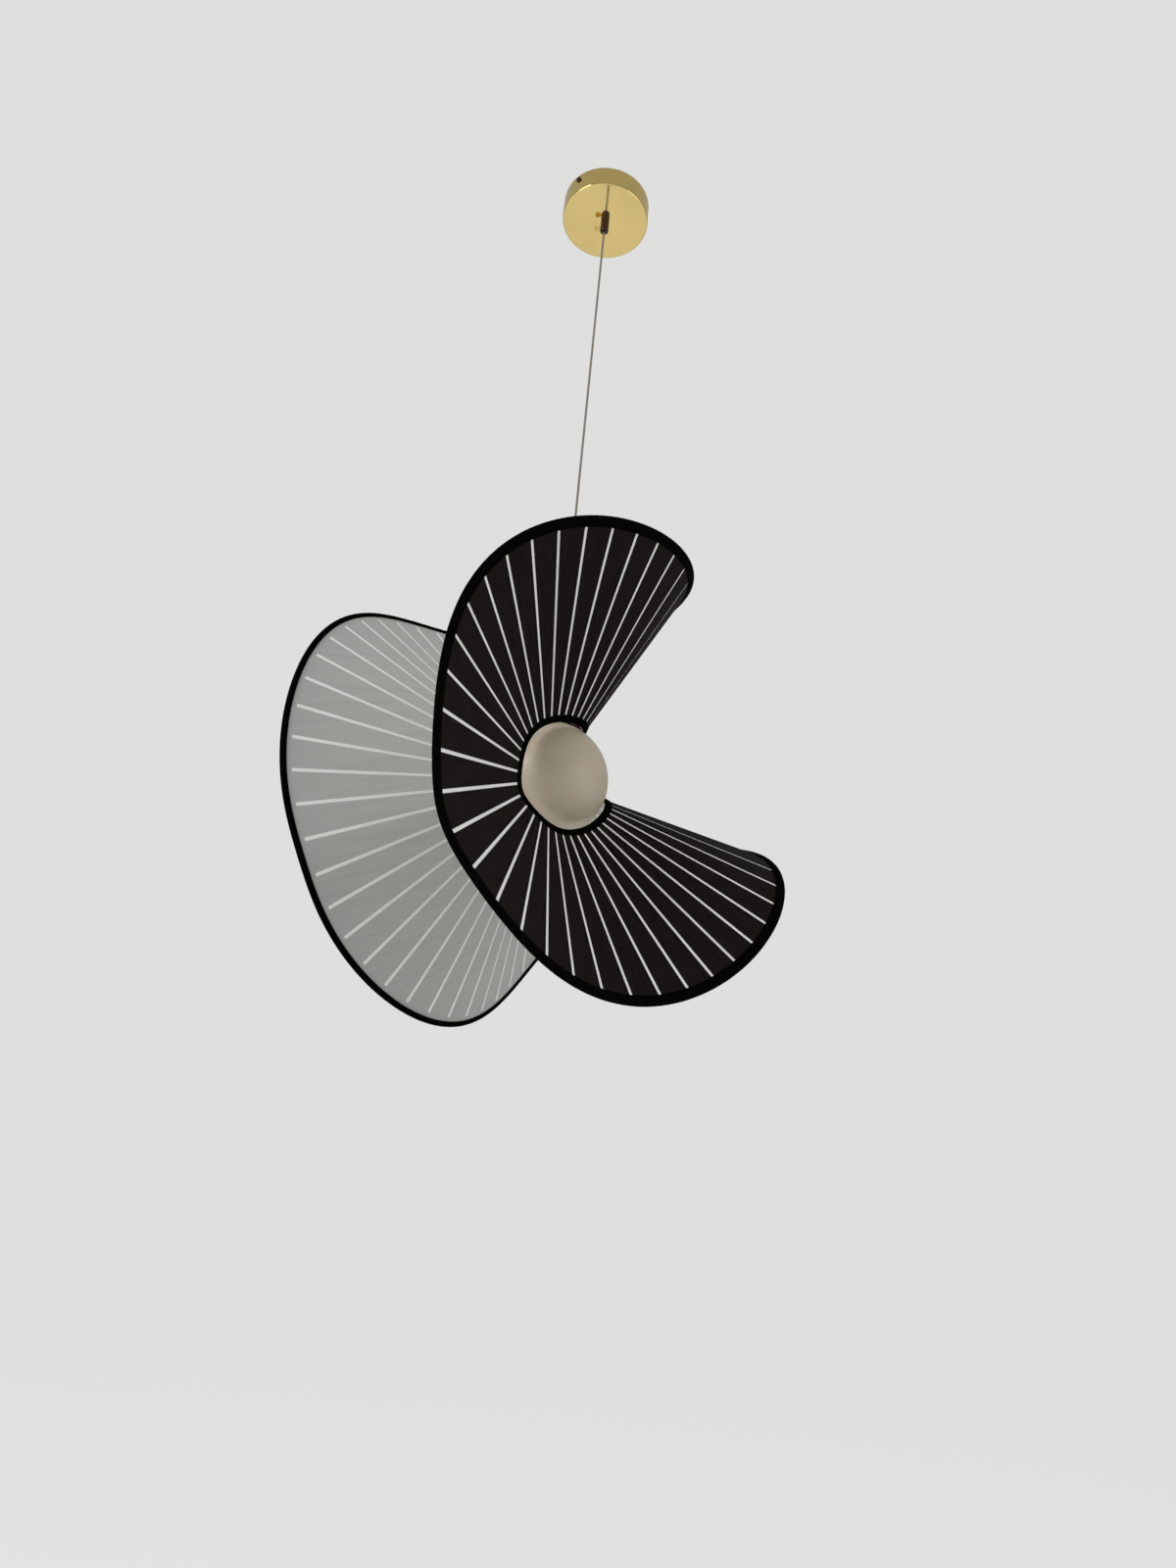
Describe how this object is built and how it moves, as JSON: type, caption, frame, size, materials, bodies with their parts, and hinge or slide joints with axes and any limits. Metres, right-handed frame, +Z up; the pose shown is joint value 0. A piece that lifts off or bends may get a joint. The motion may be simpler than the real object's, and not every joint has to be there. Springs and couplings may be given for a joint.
{
  "type": "pendant light",
  "caption": "Pendant light: saddle shaped black and white fabric shade on wire hoops round an opal globe, hung on one thin cord from a round brass ceiling canopy.",
  "frame": {"origin": "centre of the ceiling bracket's upper face, where it meets the ceiling", "axes": "+Z up; the cord hangs along -Z; XZ is the shade's mirror plane, with the black side's mouth towards -X and up"},
  "size_m": [0.5173, 0.326, 1.082],
  "materials": {
    "brass": "polished spun brass",
    "dark_brass": "dull brass screws",
    "bronze": "bronzed, nearly black",
    "steel": "zinc plated",
    "porcelain": "glazed white",
    "nylon": "natural nylon",
    "black_cloth": "fine matt weave",
    "black_tape": "folded binding tape",
    "white_cloth": "thin translucent weave",
    "opal_glass": "opal, satin outside",
    "milky_cover": "milky cover",
    "cord_grey": "thin grey cord",
    "silicone": "soft clear grey"
  },
  "bodies": {
    "ceiling_part": {"ceiling_bracket": "steel", "earth_screw": "dark_brass", "terminal_block": "porcelain", "terminal_screws": "dark_brass", "block_screw": "steel", "canopy": "brass", "canopy_screws": "bronze", "cord_grip": "bronze", "grip_washer": "steel", "grip_nut": "steel", "grip_pad": "nylon", "cord_stop": "steel", "cord_in_canopy": "cord_grey", "canopy_leads": "cord_grey"},
    "thumb": {"thumb_screw": "brass"},
    "cord_bend": {"cord_neck": "cord_grey"},
    "cord": {"suspension_cord": "cord_grey"},
    "lamp": {"cap_gland": "bronze", "gland_nut": "steel", "cord_in_cap": "cord_grey", "holder_cap": "bronze", "holder_bridge": "steel", "bridge_screws": "steel", "lampholder": "porcelain", "holder_leads": "cord_grey", "globe": "opal_glass", "globe_gasket": "silicone", "globe_screws": "bronze", "hoop_bracket": "bronze", "bracket_rivets": "bronze", "hoop_clamps": "bronze", "clamp_screws": "steel", "inner_hoop": "steel", "inner_binding": "black_tape", "outer_hoop": "steel", "outer_binding_1": "black_tape", "outer_binding_2": "black_tape", "outer_binding_3": "black_tape", "outer_binding_4": "black_tape", "liner_1": "white_cloth", "liner_2": "white_cloth", "liner_3": "white_cloth", "liner_4": "white_cloth", "black_strips_1": "black_cloth", "black_strips_2": "black_cloth", "black_strips_3": "black_cloth", "black_strips_4": "black_cloth"},
    "bulb": {"bulb_base": "porcelain", "bulb_pins": "steel", "bulb_cover": "milky_cover"}
  },
  "joints": [
    {"name": "thumb_screw_turn", "type": "hinge", "parent": "ceiling_part", "child": "thumb", "pos_m": [0, 0, -0.043], "axis": [0.7071, -0.7071, 0], "range_deg": [0, 720]},
    {"name": "swing_side", "type": "hinge", "parent": "ceiling_part", "child": "cord_bend", "pos_m": [0, 0, -0.048], "axis": [1, 0, 0], "range_deg": [-20, 20]},
    {"name": "swing_fore", "type": "hinge", "parent": "cord_bend", "child": "cord", "pos_m": [0, 0, -0.056], "axis": [0, 1, 0], "range_deg": [-20, 20]},
    {"name": "cord_twist", "type": "hinge", "parent": "cord", "child": "lamp", "pos_m": [0, 0, -0.73661], "axis": [0, 0, 1], "range_deg": [-180, 180]},
    {"name": "bulb_pull", "type": "slide", "parent": "lamp", "child": "bulb", "axis": [0, 0, -1], "range_m": [0, 0.009]}
  ]
}
